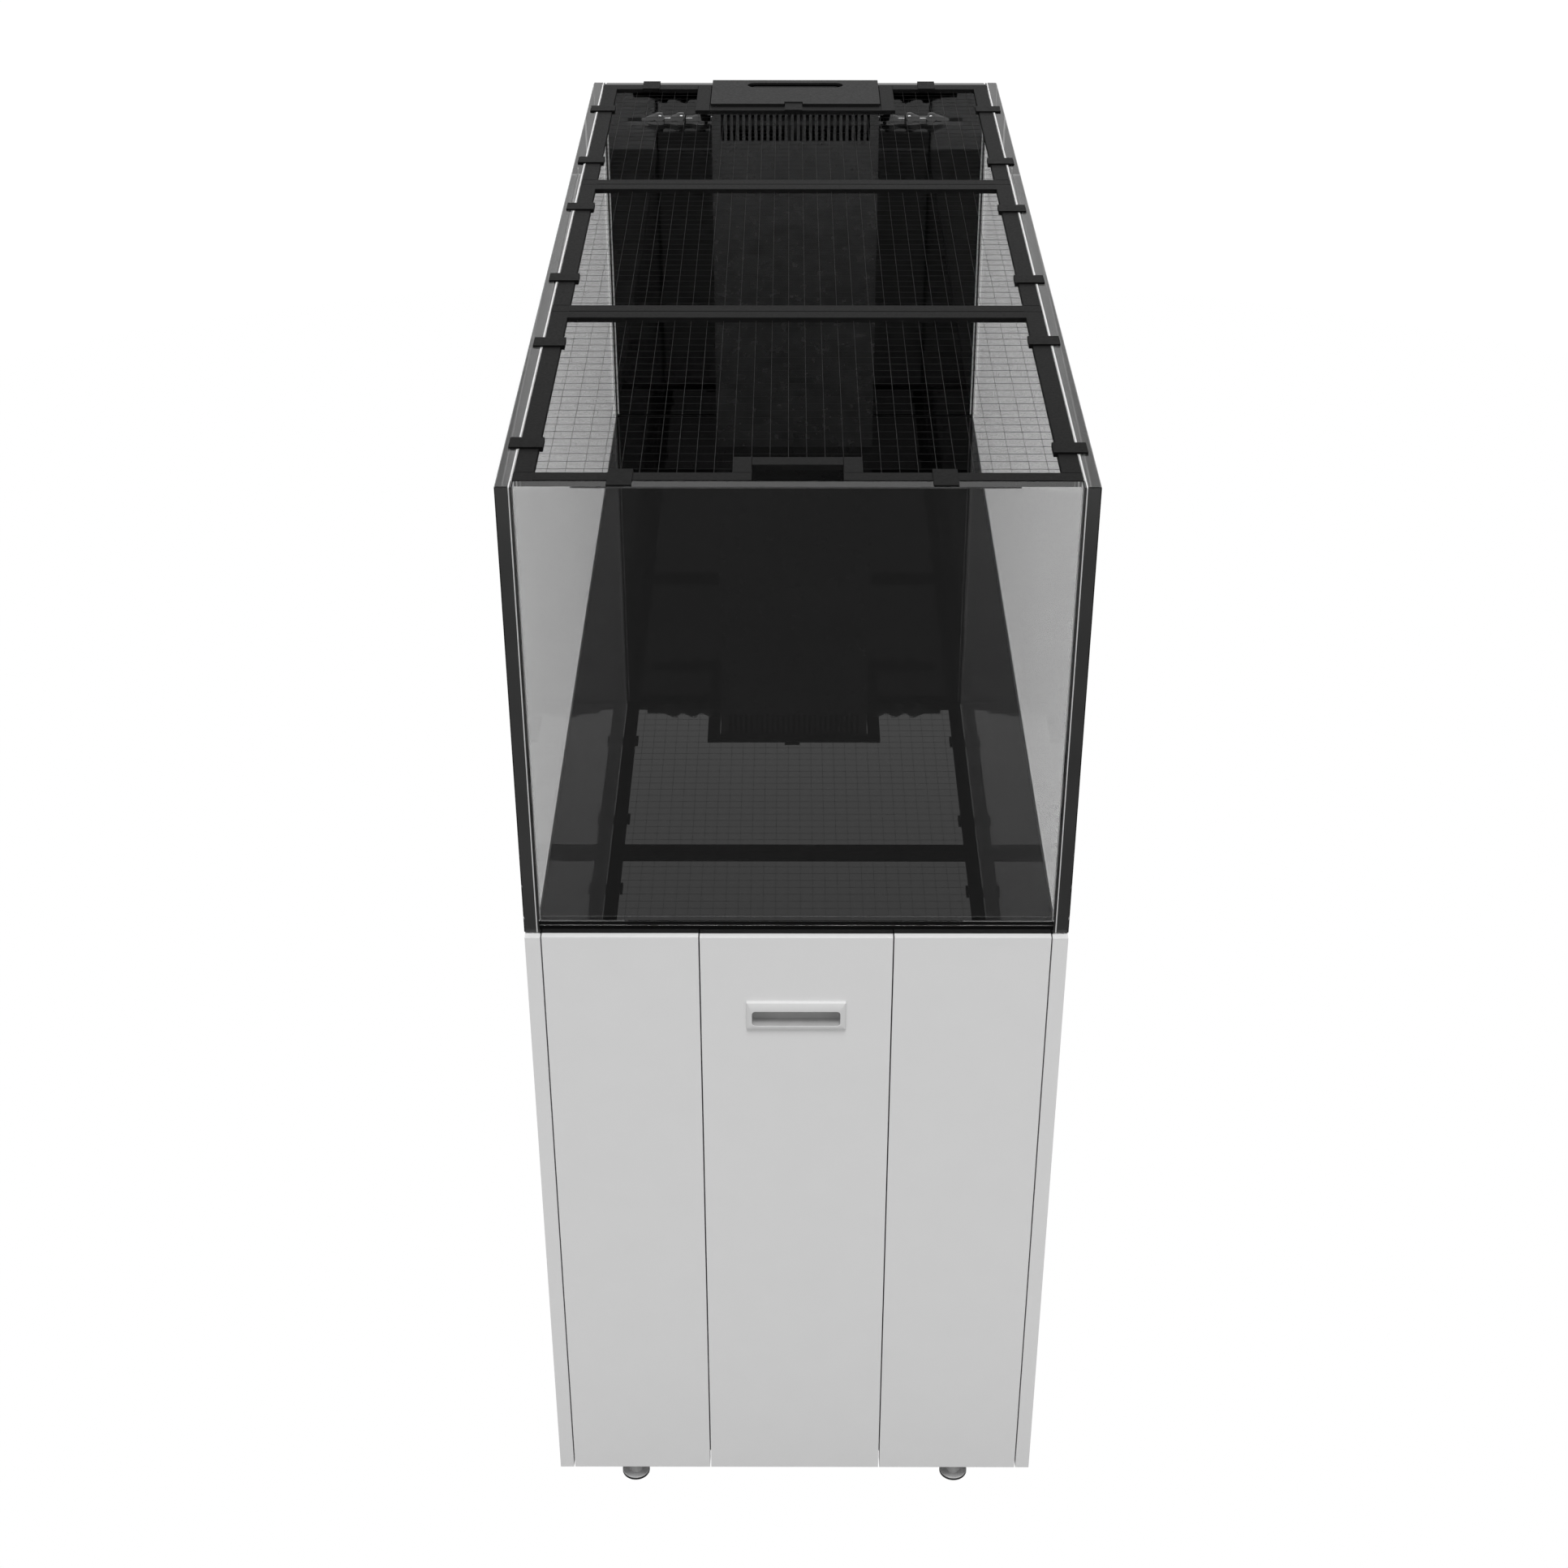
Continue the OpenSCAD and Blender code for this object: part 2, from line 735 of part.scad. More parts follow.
// The four corners are the right front one and its mirrors
module all_corners() {
  both_sides() {
    children();
    mirror([0, 1, 0]) children();
  }
}

// The arm that reaches from an end panel towards the door's cup
module hinge_plates() {
  color([0.6, 0.6, 0.62]) all_corners() for (z = hinge_zs) {
    block([panel_x - gap - arm_l, -panel_y, z - arm_h / 2],
          [panel_x - gap, -panel_y + arm_t, z + arm_h / 2]);
    block([panel_x - gap - arm_l, -panel_y, z - foot_plate_h / 2],
          [panel_x - gap - arm_l + foot_plate_l, -panel_y + foot_plate_t, z + foot_plate_h / 2]);
  }
}

// Where a side door's handle sits, with the handle's front facing +X
module at_door_handle() {
  translate([face_x, -door_handle_in, plate_z]) rotate([0, 0, 90]) children();
}

// The space that a handle's cup fills in a panel; the panel's face is y = 0 and its inside is +y
module handle_pocket() {
  translate([-recess_w / 2 - cup_skin, -eps, -recess_h / 2 - cup_skin - recess_shift])
    cube([recess_w + 2 * cup_skin, recess_d + cup_skin + eps, recess_h + 2 * cup_skin]);
}

module side_door() {
  color([0.95, 0.95, 0.95]) difference() {
    block([face_x - board_t, -face_y, door_low_z], [face_x, -gap / 2, door_top_z]);
    at_door_handle() handle_pocket();
    for (z = hinge_zs) translate([face_x - board_t - eps, -face_y + cup_in, z]) rotate([0, 90, 0])
      cylinder(r = cup_r, h = cup_d + eps);
  }
}

// A moulded handle: a proud plate round a finger recess, with rounded ends to the recess
module recess_shape() {
  for (x = [-1, 1]) for (z = [-1, 1])
    translate([x * (recess_w / 2 - recess_r), z * (recess_h / 2 - recess_r)]) circle(r = recess_r);
  square([recess_w - 2 * recess_r, recess_h], center = true);
  square([recess_w, recess_h - 2 * recess_r], center = true);
}

module handle() {
  difference() {
    union() {
      block([-plate_w / 2, -plate_t, -plate_h / 2], [plate_w / 2, 0, plate_h / 2]);
      handle_pocket();
    }
    translate([0, recess_d, -recess_shift]) rotate([90, 0, 0])
      linear_extrude(recess_d + plate_t + eps) recess_shape();
  }
}

// A door's handle and its hinge cups
module side_door_fittings() {
  color([0.93, 0.93, 0.93]) {
    at_door_handle() handle();
    for (z = hinge_zs) translate([face_x - board_t, -face_y + cup_in, z]) rotate([0, 90, 0]) difference() {
      cylinder(r = cup_r, h = cup_d);
      translate([0, 0, -eps]) cylinder(r = cup_r - cup_wall, h = cup_d - cup_wall + eps);
    }
  }
}

module right_front_door() { side_door(); }
module right_front_door_fittings() { side_door_fittings(); }
module right_back_door() { mirror([0, 1, 0]) side_door(); }
module right_back_door_fittings() { mirror([0, 1, 0]) side_door_fittings(); }
module left_front_door() { mirror([1, 0, 0]) side_door(); }
module left_front_door_fittings() { mirror([1, 0, 0]) side_door_fittings(); }
module left_back_door() { rotate([0, 0, 180]) side_door(); }
module left_back_door_fittings() { rotate([0, 0, 180]) side_door_fittings(); }

// ---- Pull-out ----

module at_centre_handle() {
  translate([0, -face_y, plate_z]) children();
}

module centre_panel() {
  color([0.95, 0.95, 0.95]) difference() {
    block([-centre_w / 2, -face_y, foot_h], [centre_w / 2, -panel_y, deck_z - front_drop]);
    at_centre_handle() handle_pocket();
  }
}

module centre_panel_handle() {
  color([0.93, 0.93, 0.93]) at_centre_handle() handle();
}

module control_board() {
  color([0.93, 0.93, 0.93])
    block([control_x, -panel_y, control_low_z], [control_x + board_t, -panel_y + control_l, control_top_z]);
}

// Channels on the bay's left board, open towards the control board
module outer_slide_rails() {
  color([0.7, 0.7, 0.72])
  for (z = slide_zs) translate([-bay_x, -panel_y + gap, z - slide_h / 2]) difference() {
    cube([control_gap - slide_wall, slide_l, slide_h]);
    translate([slide_wall, -eps, slide_wall])
      cube([control_gap, slide_l + 2 * eps, slide_h - 2 * slide_wall]);
  }
}

// Bars on the control board that run in those channels
module inner_slide_rails() {
  inner_h = slide_h - 2 * slide_wall - 2 * slide_play;
  color([0.7, 0.7, 0.72]) for (z = slide_zs)
    translate([-bay_x + slide_wall + slide_play, -panel_y + gap, z - inner_h / 2]) difference() {
      cube([control_gap - slide_wall - slide_play, slide_l, inner_h]);
      translate([-eps, -eps, slide_inner_t])
        cube([control_gap - slide_wall - slide_play - slide_inner_t + eps, slide_l + 2 * eps,
              inner_h - 2 * slide_inner_t]);
    }
}

// ---- Feet ----

// Levelling foot n, counted from the left front corner
module foot(n) {
  color([0.12, 0.12, 0.12]) translate([foot_places[n].x, foot_places[n].y, 0]) {
    rotate_extrude() polygon([
      [0, 0], [foot_d / 2, 0], [foot_d / 2, disc_t - 1], [foot_d / 2 - 1, disc_t], [foot_stem_r + 4, disc_t],
      [foot_stem_r, foot_nut_z], [foot_stem_r, foot_stem_top_z], [0, foot_stem_top_z]
    ]);
    translate([0, 0, foot_nut_z]) cylinder(r = foot_nut_r, h = foot_nut_t, $fn = 6);
  }
}

module foot_1() { foot(0); }
module foot_2() { foot(1); }
module foot_3() { foot(2); }
module foot_4() { foot(3); }
module foot_5() { foot(4); }
module foot_6() { foot(5); }

// ---- Sump ----

// Separate panes with a hair of silicone between them, two baffles and the shelf that holds the cup
module sump_tank() {
  top = sump_z + sump_h;
  low = sump_z + sump_t + pane_gap;
  color([0.75, 0.82, 0.8, 0.5]) {
    block([-sump_w / 2, sump_y0, sump_z], [sump_w / 2, sump_y1, sump_z + sump_t]);
    both_sides() block([sump_w / 2 - sump_t, sump_y0, low], [sump_w / 2, sump_y1, top]);
    block([-sump_x, sump_y0, low], [sump_x, sump_y0 + sump_t, top]);
    block([-sump_x, sump_y1 - sump_t, low], [sump_x, sump_y1, top]);
    for (y = [chamber_y, chamber_y + baffle_step, inlet_y - sump_t])
      block([-sump_x, y, low], [sump_x, y + sump_t, low + baffle_h]);
    difference() {
      block([-sump_x, inlet_y - sump_t, shelf_z], [sump_x, inlet_y + shelf_l, shelf_z + shelf_t]);
      translate([-drain_x, cup_y, shelf_z - eps]) cylinder(r = filter_r + 1, h = shelf_t + 2 * eps);
      translate([drain_x, drain_y, shelf_z - eps]) cylinder(r = drain_d, h = shelf_t + 2 * eps);
    }
  }
}

module filter_cup() {
  cup_top_z = shelf_z + shelf_t + filter_flange_t;
  color([0.85, 0.85, 0.85]) translate([-drain_x, cup_y, 0]) difference() {
    union() {
      translate([0, 0, filter_z]) cylinder(r = filter_r, h = cup_top_z - filter_z);
      translate([0, 0, shelf_z + shelf_t]) cylinder(r = filter_flange_r, h = filter_flange_t);
    }
    translate([0, 0, filter_z + filter_wall]) cylinder(r = filter_r - filter_wall, h = cup_top_z);
  }
}

module return_pump() {
  color([0.15, 0.15, 0.15]) translate([0, pump_y, sump_z + sump_t]) {
    translate([-pump_w / 2, -pump_l / 2, 0]) cube([pump_w, pump_l, pump_h]);
    translate([0, 0, pump_h - eps]) cylinder(r = pump_neck_r, h = pump_neck_h + eps);
  }
}

// The valve's stem and its lever, which hangs beside the pipe while the valve is open
module drain_valve_lever() {
  color([0.7, 0.15, 0.12]) translate([-drain_x, drain_y - valve_r, valve_z]) {
    rotate([90, 0, 0]) cylinder(r = stem_r, h = 2 * lever_t);
    translate([-lever_w / 2, -2 * lever_t, -lever_l]) cube([lever_w, lever_t, lever_l + lever_w / 2]);
  }
}

// ---- What is drawn ----

tank_front_glass();
tank_left_glass();
tank_right_glass();
tank_back_glass();
tank_bottom_panel();
silicone_seams();
overflow_comb();
overflow_side_walls();
bulkheads();
drain_pipes();
return_pipes();
overflow_cover();
nozzle_wall_fittings();
left_nozzle_link_1();
left_nozzle_link_2();
left_nozzle_spout();
right_nozzle_link_1();
right_nozzle_link_2();
right_nozzle_spout();
front_lid_frame();
front_lid_net();
front_lid_clips();
middle_lid_frame();
middle_lid_net();
middle_lid_clips();
rear_lid_frame();
rear_lid_net();
rear_lid_clips();
bottom_board();
top_board();
front_left_panel();
front_right_panel();
back_panel();
inner_boards();
cable_grommets();
foot_sockets();
hinge_plates();
outer_slide_rails();
left_front_door();
left_front_door_fittings();
left_back_door();
left_back_door_fittings();
right_front_door();
right_front_door_fittings();
right_back_door();
right_back_door_fittings();
centre_panel();
centre_panel_handle();
control_board();
inner_slide_rails();
foot_1();
foot_2();
foot_3();
foot_4();
foot_5();
foot_6();
sump_tank();
filter_cup();
return_pump();
drain_valve_lever();
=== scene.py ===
import json
import math

import bmesh
import bpy
from mathutils import Matrix, Vector


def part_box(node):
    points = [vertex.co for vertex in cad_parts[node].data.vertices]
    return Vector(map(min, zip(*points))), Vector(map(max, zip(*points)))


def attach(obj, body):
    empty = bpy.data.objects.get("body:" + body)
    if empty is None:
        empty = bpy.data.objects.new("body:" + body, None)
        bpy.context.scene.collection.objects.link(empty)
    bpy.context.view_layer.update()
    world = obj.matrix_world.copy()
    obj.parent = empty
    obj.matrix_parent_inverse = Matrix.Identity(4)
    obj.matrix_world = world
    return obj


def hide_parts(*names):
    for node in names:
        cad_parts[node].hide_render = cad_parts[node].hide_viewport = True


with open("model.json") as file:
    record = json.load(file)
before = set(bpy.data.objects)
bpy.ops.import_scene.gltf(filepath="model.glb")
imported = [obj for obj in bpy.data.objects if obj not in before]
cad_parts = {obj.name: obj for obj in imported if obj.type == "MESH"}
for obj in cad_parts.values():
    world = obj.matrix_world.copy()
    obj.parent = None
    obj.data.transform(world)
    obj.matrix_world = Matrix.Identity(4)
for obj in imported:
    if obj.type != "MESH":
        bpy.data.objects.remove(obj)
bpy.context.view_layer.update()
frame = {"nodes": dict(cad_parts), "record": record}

MM = 0.001
ROOT = "tank_and_cabinet"
SIDES = {"left": -1, "right": 1}
ENDS = {"front": -1, "back": 1}

# ---- Camera ----

CAMERA_PLACE = (-0.0089, -2.8978, 2.4021)
CAMERA_PITCH = 31.678  # degrees below the horizon
CAMERA_TURN = 0.124  # degrees towards -X
CAMERA_LENS = 55.5  # mm on a 36 mm sensor


def make_camera():
    data = bpy.data.cameras.new("camera")
    data.lens = CAMERA_LENS
    data.sensor_width = 36.0
    data.clip_end = 60.0
    camera = bpy.data.objects.new("camera", data)
    camera.location = CAMERA_PLACE
    camera.rotation_euler = (math.radians(90 - CAMERA_PITCH), 0, math.radians(CAMERA_TURN))
    bpy.context.collection.objects.link(camera)
    bpy.context.scene.camera = camera


# ---- Node helpers ----

NOISE_LOW, NOISE_HIGH = 0.3, 0.7  # nearly all of a noise field lies between these
COLOUR_COARSER = 12  # a surface's colour noise is this much coarser than its bump
ROUGHNESS_COARSER = 5  # and its roughness noise this much


def rgb(value):
    """A colour as given, or a grey from one number."""
    return (value,) * 3 if isinstance(value, float) else value


def new_material(name):
    """A material with an empty node tree but for its output and a Principled shader."""
    mat = bpy.data.materials.new(name)
    mat.use_nodes = True
    mat.node_tree.nodes.clear()
    out = mat.node_tree.nodes.new("ShaderNodeOutputMaterial")
    skin = mat.node_tree.nodes.new("ShaderNodeBsdfPrincipled")
    mat.node_tree.links.new(skin.outputs[0], out.inputs[0])
    return mat, skin


def add(mat, kind, **values):
    """A node of this kind, with input sockets set by name (spaces as underscores)."""
    made = mat.node_tree.nodes.new("ShaderNode" + kind)
    for key, value in values.items():
        made.inputs[key.replace("_", " ")].default_value = value
    return made


def link(mat, source, target):
    mat.node_tree.links.new(source, target)


def noise(mat, scale, detail=3.0, stretch=(1, 1, 1)):
    """Noise over the object's own coordinates; returns its grey output."""
    place = add(mat, "TexCoord")
    mapping = add(mat, "Mapping", Scale=stretch)
    field = add(mat, "TexNoise", Scale=scale, Detail=detail)
    link(mat, place.outputs["Object"], mapping.inputs["Vector"])
    link(mat, mapping.outputs[0], field.inputs["Vector"])
    return field.outputs["Fac"]


def spread(mat, source, low, high):
    """The grey output source spread from low to high."""
    ramp = add(mat, "MapRange", From_Min=NOISE_LOW, From_Max=NOISE_HIGH, To_Min=low, To_Max=high)
    link(mat, source, ramp.inputs["Value"])
    return ramp.outputs[0]


def tint(mat, source, dark, light):
    """A colour between dark and light by a grey output."""
    ramp = add(mat, "ValToRGB")
    ends = zip(ramp.color_ramp.elements, (dark, light), (NOISE_LOW, NOISE_HIGH))
    for element, colour, position in ends:
        element.color = (*rgb(colour), 1)
        element.position = position
    link(mat, source, ramp.inputs[0])
    return ramp.outputs[0]


def rough_skin(mat, skin, height, scale, edge=0.0, stretch=(1, 1, 1)):
    """Bump from fine noise, with the normal rounded at edges by edge metres."""
    bump = add(mat, "Bump", Strength=1.0, Distance=height)
    link(mat, noise(mat, scale, 4.0, stretch), bump.inputs["Height"])
    if edge:
        bevel = add(mat, "Bevel", Radius=edge)
        bevel.samples = 4
        link(mat, bevel.outputs[0], bump.inputs["Normal"])
    link(mat, bump.outputs[0], skin.inputs["Normal"])


def plain(name, dark, light, roughness, height, scale, edge=0.0, metallic=0.0, specular=0.5,
          ior=1.5, coat=0.0, stretch=(1, 1, 1)):
    """A solid surface. Colour and roughness vary over it, and bump of this height in metres and this
    noise scale breaks its shine."""
    mat, skin = new_material(name)
    link(mat, tint(mat, noise(mat, scale / COLOUR_COARSER), dark, light), skin.inputs["Base Color"])
    link(mat, spread(mat, noise(mat, scale / ROUGHNESS_COARSER), *roughness), skin.inputs["Roughness"])
    skin.inputs["Metallic"].default_value = metallic
    skin.inputs["Specular IOR Level"].default_value = specular
    skin.inputs["IOR"].default_value = ior
    skin.inputs["Coat Weight"].default_value = coat
    rough_skin(mat, skin, height, scale, edge, stretch)
    return mat


GLASS_IOR = 1.5
GLASS_NOISE = 3.0


def glass(name, dark, light):
    """Clear glass with a faint uneven tint."""
    mat, skin = new_material(name)
    link(mat, tint(mat, noise(mat, GLASS_NOISE), dark, light), skin.inputs["Base Color"])
    skin.inputs["Roughness"].default_value = 0.0
    skin.inputs["IOR"].default_value = GLASS_IOR
    skin.inputs["Transmission Weight"].default_value = 1.0
    return mat


def pane_glass(name, dark, light, shine):
    """Glass whose mirroring is held back to shine, a share of the full Fresnel curve."""
    mat = bpy.data.materials.new(name)
    mat.use_nodes = True
    mat.node_tree.nodes.clear()
    out = add(mat, "OutputMaterial")
    clear = add(mat, "BsdfRefraction", Roughness=0.0, IOR=GLASS_IOR)
    mirror = add(mat, "BsdfAnisotropic", Roughness=0.0, Color=(1, 1, 1, 1))
    curve = add(mat, "Fresnel", IOR=GLASS_IOR)
    share = add(mat, "MapRange", To_Max=shine)
    mix = add(mat, "MixShader")
    link(mat, tint(mat, noise(mat, GLASS_NOISE), dark, light), clear.inputs["Color"])
    link(mat, curve.outputs[0], share.inputs["Value"])
    link(mat, share.outputs[0], mix.inputs[0])
    link(mat, clear.outputs[0], mix.inputs[1])
    link(mat, mirror.outputs[0], mix.inputs[2])
    link(mat, mix.outputs[0], out.inputs[0])
    return mat


SOLE_TOP = 3.2 * MM
SOLE_BLEND = 0.3 * MM


def foot_material():
    """Grey cap over a black sole: the colour changes with height."""
    mat, skin = new_material("foot_plastic")
    place = add(mat, "TexCoord")
    split = add(mat, "SeparateXYZ")
    step = add(mat, "MapRange", From_Min=SOLE_TOP, From_Max=SOLE_TOP + SOLE_BLEND)
    link(mat, place.outputs["Object"], split.inputs[0])
    link(mat, split.outputs["Z"], step.inputs["Value"])
    mix = mat.node_tree.nodes.new("ShaderNodeMix")
    mix.data_type = "RGBA"
    mix.inputs["A"].default_value = (*rgb(0.01), 1)
    link(mat, tint(mat, noise(mat, 180.0), 0.5, 0.6), mix.inputs["B"])
    link(mat, step.outputs[0], mix.inputs["Factor"])
    link(mat, mix.outputs["Result"], skin.inputs["Base Color"])
    link(mat, spread(mat, noise(mat, 300.0), 0.4, 0.6), skin.inputs["Roughness"])
    rough_skin(mat, skin, 0.1 * MM, 900.0, 0.6 * MM)
    return mat


PLAIN_LOOKS = {
    # Painted shade: an opaque dark colour on the panes' upright ends, standing for the darkness seen in a
    # glass edge.
    "glass_end_painted_shade": dict(dark=0.028, light=0.045, roughness=(0.1, 0.2), height=0.0, scale=60.0,
                      specular=0.3, stretch=(1, 1, 0.2)),
    "ground_arris": dict(dark=0.75, light=0.85, roughness=(0.5, 0.6), height=0.02 * MM, scale=900.0),
    "black_glass": dict(dark=0.001, light=0.002, roughness=(0.0, 0.02), height=0.0, scale=40.0),
    "black_panel": dict(dark=0.001, light=0.002, roughness=(0.0, 0.02), height=0.0, scale=40.0,
                        specular=0.2),
    "silicone": dict(dark=0.006, light=0.012, roughness=(0.3, 0.45), height=0.1 * MM, scale=300.0),
    "black_acrylic": dict(dark=0.008, light=0.013, roughness=(0.15, 0.3), height=0.01 * MM, scale=400.0,
                          edge=0.5 * MM),
    "cover_plastic": dict(dark=0.01, light=0.013, roughness=(0.5, 0.6), height=0.03 * MM, scale=1200.0,
                          edge=0.6 * MM, ior=1.18),
    "pipe_plastic": dict(dark=0.02, light=0.03, roughness=(0.25, 0.4), height=0.03 * MM, scale=300.0,
                         edge=0.6 * MM),
    "nozzle_plastic": dict(dark=0.008, light=0.012, roughness=(0.02, 0.05), height=0.0, scale=300.0,
                           edge=0.5 * MM, specular=0.6),
    "lid_metal": dict(dark=0.006, light=0.008, roughness=(0.45, 0.55), height=0.02 * MM, scale=1500.0,
                      ior=1.1),
    "lid_net": dict(dark=0.004, light=0.007, roughness=(0.35, 0.5), height=0.02 * MM, scale=900.0,
                    ior=1.15),
    "clip_plastic": dict(dark=0.005, light=0.007, roughness=(0.45, 0.55), height=0.03 * MM,
                         scale=1500.0, edge=0.5 * MM, ior=1.1),
    "white_board": dict(dark=0.8, light=0.81, roughness=(0.4, 0.46), height=0.02 * MM, scale=260.0,
                        edge=0.7 * MM, coat=0.15),
    "handle_plastic": dict(dark=0.7, light=0.72, roughness=(0.35, 0.45), height=0.02 * MM, scale=700.0,
                           edge=0.3 * MM),
    # Painted shade: the recess is coloured darker than the plate to stand for the shadow inside it.
    "handle_recess_painted_shade": dict(dark=0.38, light=0.42, roughness=(0.5, 0.6), height=0.03 * MM, scale=700.0),
    "grommet_plastic": dict(dark=0.015, light=0.025, roughness=(0.4, 0.55), height=0.05 * MM,
                            scale=900.0, edge=0.8 * MM),
    "steel": dict(dark=(0.5, 0.5, 0.51), light=(0.62, 0.62, 0.63), roughness=(0.25, 0.4),
                  height=0.02 * MM, scale=400.0, edge=0.5 * MM, metallic=1.0, stretch=(1, 0.05, 1)),
    "cup_plastic": dict(dark=0.62, light=0.7, roughness=(0.4, 0.5), height=0.05 * MM, scale=500.0,
                        edge=1.0 * MM),
    "pump_plastic": dict(dark=0.012, light=0.02, roughness=(0.3, 0.45), height=0.06 * MM, scale=700.0,
                         edge=3 * MM),
    "lever_plastic": dict(dark=(0.42, 0.03, 0.02), light=(0.5, 0.05, 0.035), roughness=(0.3, 0.4),
                          height=0.03 * MM, scale=600.0, edge=1.0 * MM),
}
MATERIALS = {name: plain(name, **look) for name, look in PLAIN_LOOKS.items()}
MATERIALS["clear_glass"] = pane_glass("clear_glass", 0.985, 0.995, 0.8)
MATERIALS["sump_glass"] = glass("sump_glass", (0.88, 0.94, 0.91), (0.93, 0.97, 0.95))
MATERIALS["foot_plastic"] = foot_material()

# ---- Mesh helpers ----

SHARP_ANGLE = 35  # degrees between faces, from which a smooth piece keeps an edge


def finish_piece(name, bm, body, slot_name, nodes=(), smooth=False, more=()):
    """Turns a bmesh into a piece of the object: a body to ride on, a material and the nodes it stands
    for. more names the materials of faces with a material index of 1 and up."""
    bmesh.ops.recalc_face_normals(bm, faces=bm.faces)
    mesh = bpy.data.meshes.new(name)
    bm.to_mesh(mesh)
    bm.free()
    piece = bpy.data.objects.new(name, mesh)
    bpy.context.collection.objects.link(piece)
    for material in (slot_name, *more):
        mesh.materials.append(MATERIALS[material])
    if smooth:
        for face in mesh.polygons:
            face.use_smooth = True
        mesh.set_sharp_from_angle(angle=math.radians(SHARP_ANGLE))
    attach(piece, body)
    if nodes:
        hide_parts(*nodes)
    return piece


def bridge(bm, low, high):
    """Quads between two closed loops of the same length."""
    count = len(low)
    return [bm.faces.new((low[i], low[(i + 1) % count], high[(i + 1) % count], high[i]))
            for i in range(count)]


def add_box(bm, low, high):
    size = high - low
    place = Matrix.Translation((low + high) / 2) @ Matrix.Diagonal((*size, 1))
    return bmesh.ops.create_cube(bm, size=1.0, matrix=place)["verts"]


# ---- Glass panes ----

ARRIS = 1.2 * MM
BACK_ARRIS = 2.5 * MM


def pane(node, slot_name, inward, arris=ARRIS):
    """A pane in its node's box, with an arris along all its edges. The upright ends are painted dark: an
    opaque dark material, a painted shade that stands for how dark a glass edge looks.
    The arrises that face inward are ground: all on the tank's sides, and only the upright ones elsewhere."""
    bm = bmesh.new()
    add_box(bm, *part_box(node))
    bmesh.ops.bevel(bm, geom=bm.edges[:], offset=arris, segments=1, affect="EDGES")
    side_pane = abs(inward[0]) > 0
    inward = Vector(inward)
    along = inward.cross((0, 0, 1))
    for face in bm.faces:
        face.normal_update()
        # Upright end faces take the dark material: painted shade for a glass edge.
        if abs(face.normal.dot(along)) > 0.9:
            face.material_index = 1
        elif 0.5 < face.normal.dot(inward) < 0.9 and (side_pane or abs(face.normal.z) < 0.5):
            face.material_index = 2
    finish_piece(node + "_pane", bm, ROOT, slot_name, [node], more=["glass_end_painted_shade", "ground_arris"])


# ---- Nets ----

NET_PITCH = 18.65 * MM
NET_START = 16.5 * MM
THREAD_R = 0.2 * MM
THREAD_SIDES = 6
WEAVE = 0.12 * MM
FEED_HALF = 65.5 * MM
FEED_DEPTH = 37.8 * MM
COVER_MARGIN = 21.5 * MM
NOTCH_SLACK = 1 * MM


def thread(bm, start, end, side, phase):
    """A woven thread from start to end: it passes over and under at every pitch of the net. side is
    the level direction across it."""
    rings = []
    up = Vector((0, 0, 1))
    steps = max(2, round((end - start).length / NET_PITCH))
    for i in range(steps + 1):
        centre = start.lerp(end, i / steps) + up * WEAVE * (1 if (i + phase) % 2 else -1)
        ring = []
        for k in range(THREAD_SIDES):
            turn = 2 * math.pi * k / THREAD_SIDES
            ring.append(bm.verts.new(centre + (side * math.cos(turn) + up * math.sin(turn)) * THREAD_R))
        rings.append(ring)
    for low, high in zip(rings, rings[1:]):
        bridge(bm, low, high)
    bm.faces.new(rings[0])
    bm.faces.new(rings[-1])


def spans(low, high, cut_low, cut_high, is_cut):
    """The stretches of low to high that are left when a notch takes cut_low to cut_high."""
    if not is_cut:
        return [(low, high)]
    return [(a, b) for a, b in ((low, cut_low), (cut_high, high)) if b - a > NET_PITCH / 2]


def net(lid, notch=None):
    """The square net of a lid; notch is the (x, y0, y1) box round its middle that holds no net."""
    low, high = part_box(lid + "_net")
    z = (low.z + high.z) / 2
    half_x, y0, y1 = notch if notch else (0, 0, 0)
    bm = bmesh.new()
    columns = int((high.x - NET_PITCH / 2) / NET_PITCH) + 1
    for k in range(-columns, columns):
        x = (k + 0.5) * NET_PITCH
        for a, b in spans(low.y, high.y, y0, y1, notch and abs(x) < half_x):
            thread(bm, Vector((x, a, z)), Vector((x, b, z)), Vector((1, 0, 0)), k % 2)
    rows = int((high.y - low.y - NET_START) / NET_PITCH) + 1
    for k in range(rows):
        y = low.y + NET_START + k * NET_PITCH
        for a, b in spans(low.x, high.x, -half_x, half_x, notch and y0 < y < y1):
            thread(bm, Vector((a, y, z)), Vector((b, y, z)), Vector((0, 1, 0)), (k + 1) % 2)
    finish_piece(lid + "_threads", bm, lid, "lid_net", [lid + "_net"], smooth=True)


def nets():
    """The three nets: notched at the feeding notch in front and at the overflow cover behind."""
    front_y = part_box("front_lid_net")[0].y
    net("front_lid", (FEED_HALF, front_y - NOTCH_SLACK, front_y + FEED_DEPTH))
    net("middle_lid")
    rear_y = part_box("rear_lid_net")[1].y
    cover_low, cover_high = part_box("overflow_cover")
    net("rear_lid", (cover_high.x + COVER_MARGIN, cover_low.y - COVER_MARGIN, rear_y + NOTCH_SLACK))


# ---- Recessed handles and hinge cups ----

PLATE = (112 * MM, 37.5 * MM, 3.5 * MM)
RECESS = (99 * MM, 19.3 * MM, 11 * MM)
RECESS_SHIFT = 3.7 * MM
PLATE_CHAMFER = 1.4 * MM
RECESS_LIP = 0.8 * MM
RECESS_R = 4 * MM  # of its corners and where its walls run into its floor
RECESS_WALL = 1.5 * MM
CORNER_STEPS = 6
LIP_LOOP = 5  # the recess's darker material, painted shade for the shadow in the recess, starts after this loop
